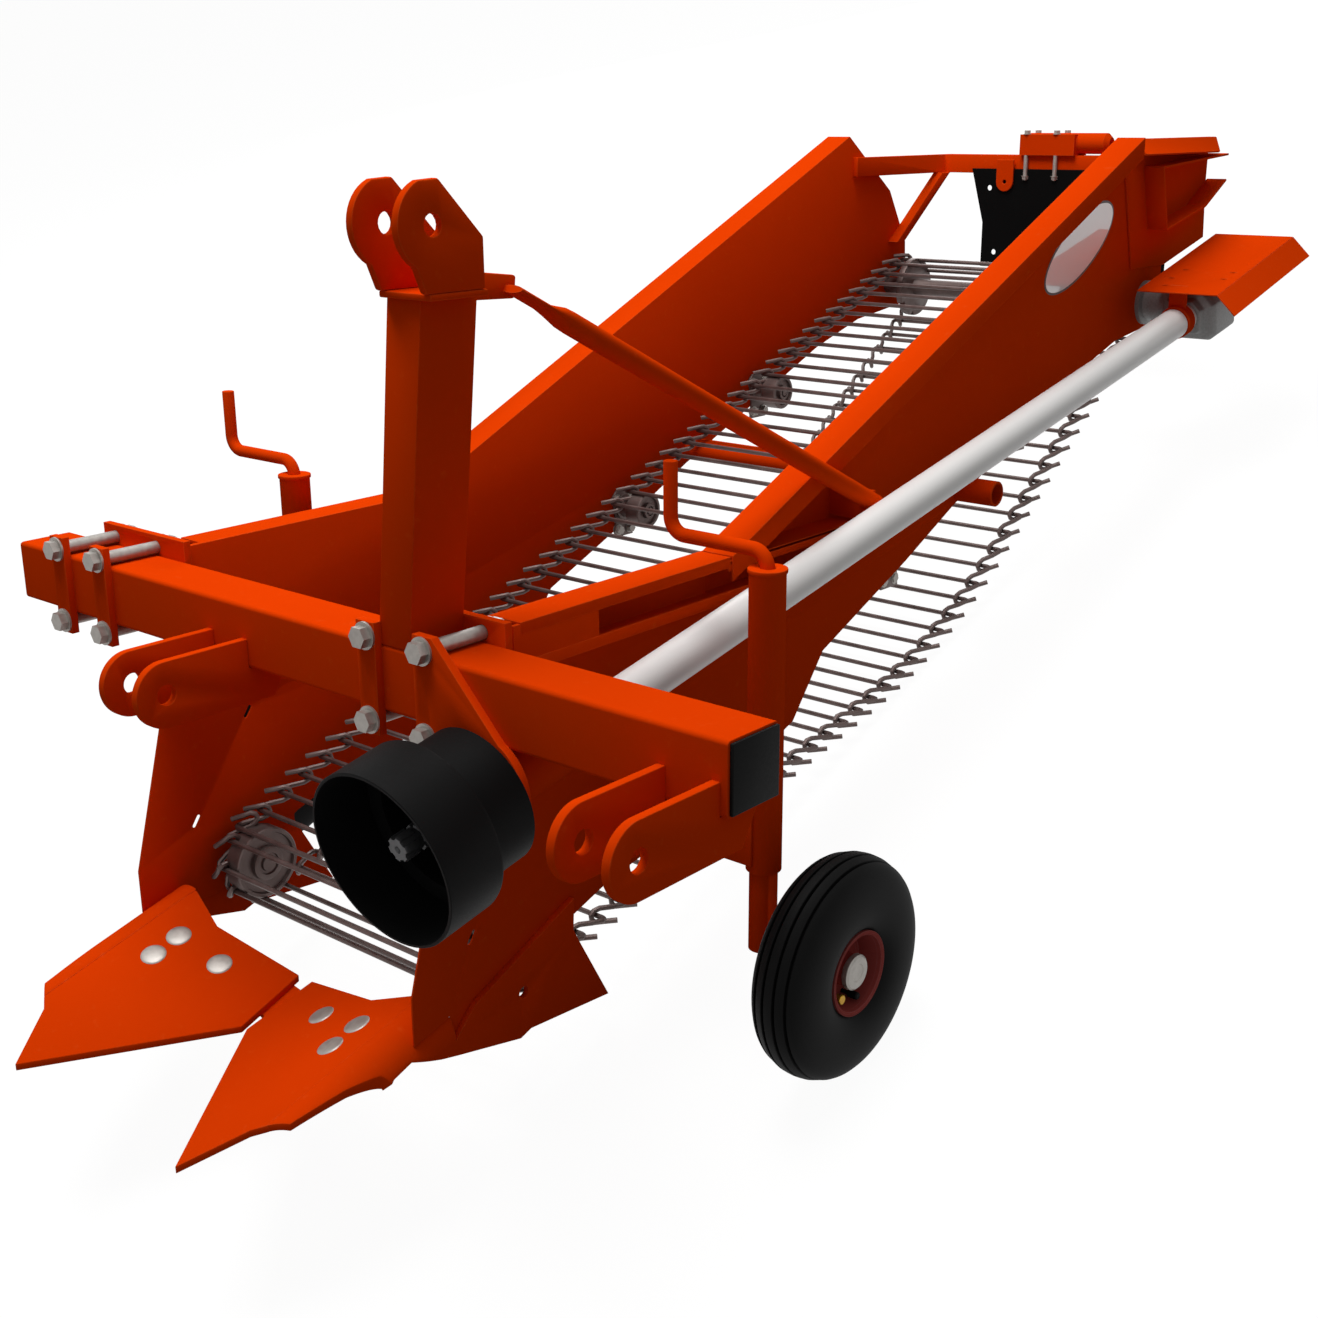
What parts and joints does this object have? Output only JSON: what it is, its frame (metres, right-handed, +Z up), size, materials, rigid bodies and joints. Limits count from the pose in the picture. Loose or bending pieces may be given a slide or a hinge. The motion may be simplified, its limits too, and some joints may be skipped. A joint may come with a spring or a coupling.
{
  "type": "potato plough",
  "caption": "Orange mounted potato plough: dished shares, a rod web rising between side walls, three-point hitch, shaft drive and depth wheels on cranked legs",
  "frame": {"origin": "on the floor under the middle of the overall box", "axes": "+Z up, -Y towards the tractor, +X the machine's left"},
  "size_m": [1.419, 2.8288, 1.2651],
  "materials": {
    "orange_paint": "semi-gloss orange-red enamel",
    "white_paint": "satin white enamel",
    "red_rim": "dull dark red enamel",
    "zinc_steel": "bright zinc plating",
    "bare_steel": "bare rolled steel, dull and browned",
    "grey_casting": "sand-cast grey iron",
    "tyre": "matt tyre rubber",
    "black_rubber": "matt rubber sheet",
    "black_plastic": "moulded black plastic"
  },
  "bodies": {
    "frame": {"arm_left": "orange_paint", "arm_right": "orange_paint", "bar_caps": "black_plastic", "brace_lug": "orange_paint", "cheek_left": "orange_paint", "cheek_right": "orange_paint", "clamp_arm": "orange_paint", "clamp_bolts": "zinc_steel", "clamp_straps": "orange_paint", "crank_left": "orange_paint", "crank_right": "orange_paint", "cross_tube": "orange_paint", "curtain": "black_rubber", "drive_roller": "bare_steel", "gear_guard": "orange_paint", "gear_plate": "orange_paint", "gearbox": "grey_casting", "guide_rollers": "bare_steel", "hitch_left": "orange_paint", "hitch_right": "orange_paint", "input_housing": "grey_casting", "leg_bracket_left": "orange_paint", "leg_bracket_right": "orange_paint", "leg_sleeve_left": "orange_paint", "leg_sleeve_right": "orange_paint", "mast": "orange_paint", "mast_brace": "orange_paint", "mast_head": "orange_paint", "nose_rollers": "bare_steel", "pto_guard": "black_plastic", "pto_stub": "bare_steel", "rear_bar": "orange_paint", "rod_web": "bare_steel", "shaft_tube": "white_paint", "share_carrier": "orange_paint", "share_left": "orange_paint", "share_right": "orange_paint", "tail_bracket": "orange_paint", "toolbar": "orange_paint", "wall_left": "orange_paint", "wall_right": "orange_paint"},
    "leg_left": {"leg_left": "orange_paint"},
    "leg_right": {"leg_right": "orange_paint"},
    "wheel_left": {"rim_left": "red_rim", "tyre_left": "tyre"},
    "wheel_right": {"rim_right": "red_rim", "tyre_right": "tyre"}
  },
  "joints": [
    {"name": "leg_left_slide", "type": "slide", "parent": "frame", "child": "leg_left", "axis": [0, 0.3341, 0.9426], "range_m": [-0.15, 0.08]},
    {"name": "wheel_left_spin", "type": "hinge", "parent": "leg_left", "child": "wheel_left", "pos_m": [0.5825, -0.67266, 0.158], "axis": [1, 0, 0], "continuous": true},
    {"name": "leg_right_slide", "type": "slide", "parent": "frame", "child": "leg_right", "axis": [0, 0.3341, 0.9426], "range_m": [-0.15, 0.08]},
    {"name": "wheel_right_spin", "type": "hinge", "parent": "leg_right", "child": "wheel_right", "pos_m": [-0.6475, -0.67266, 0.158], "axis": [1, 0, 0], "continuous": true}
  ]
}
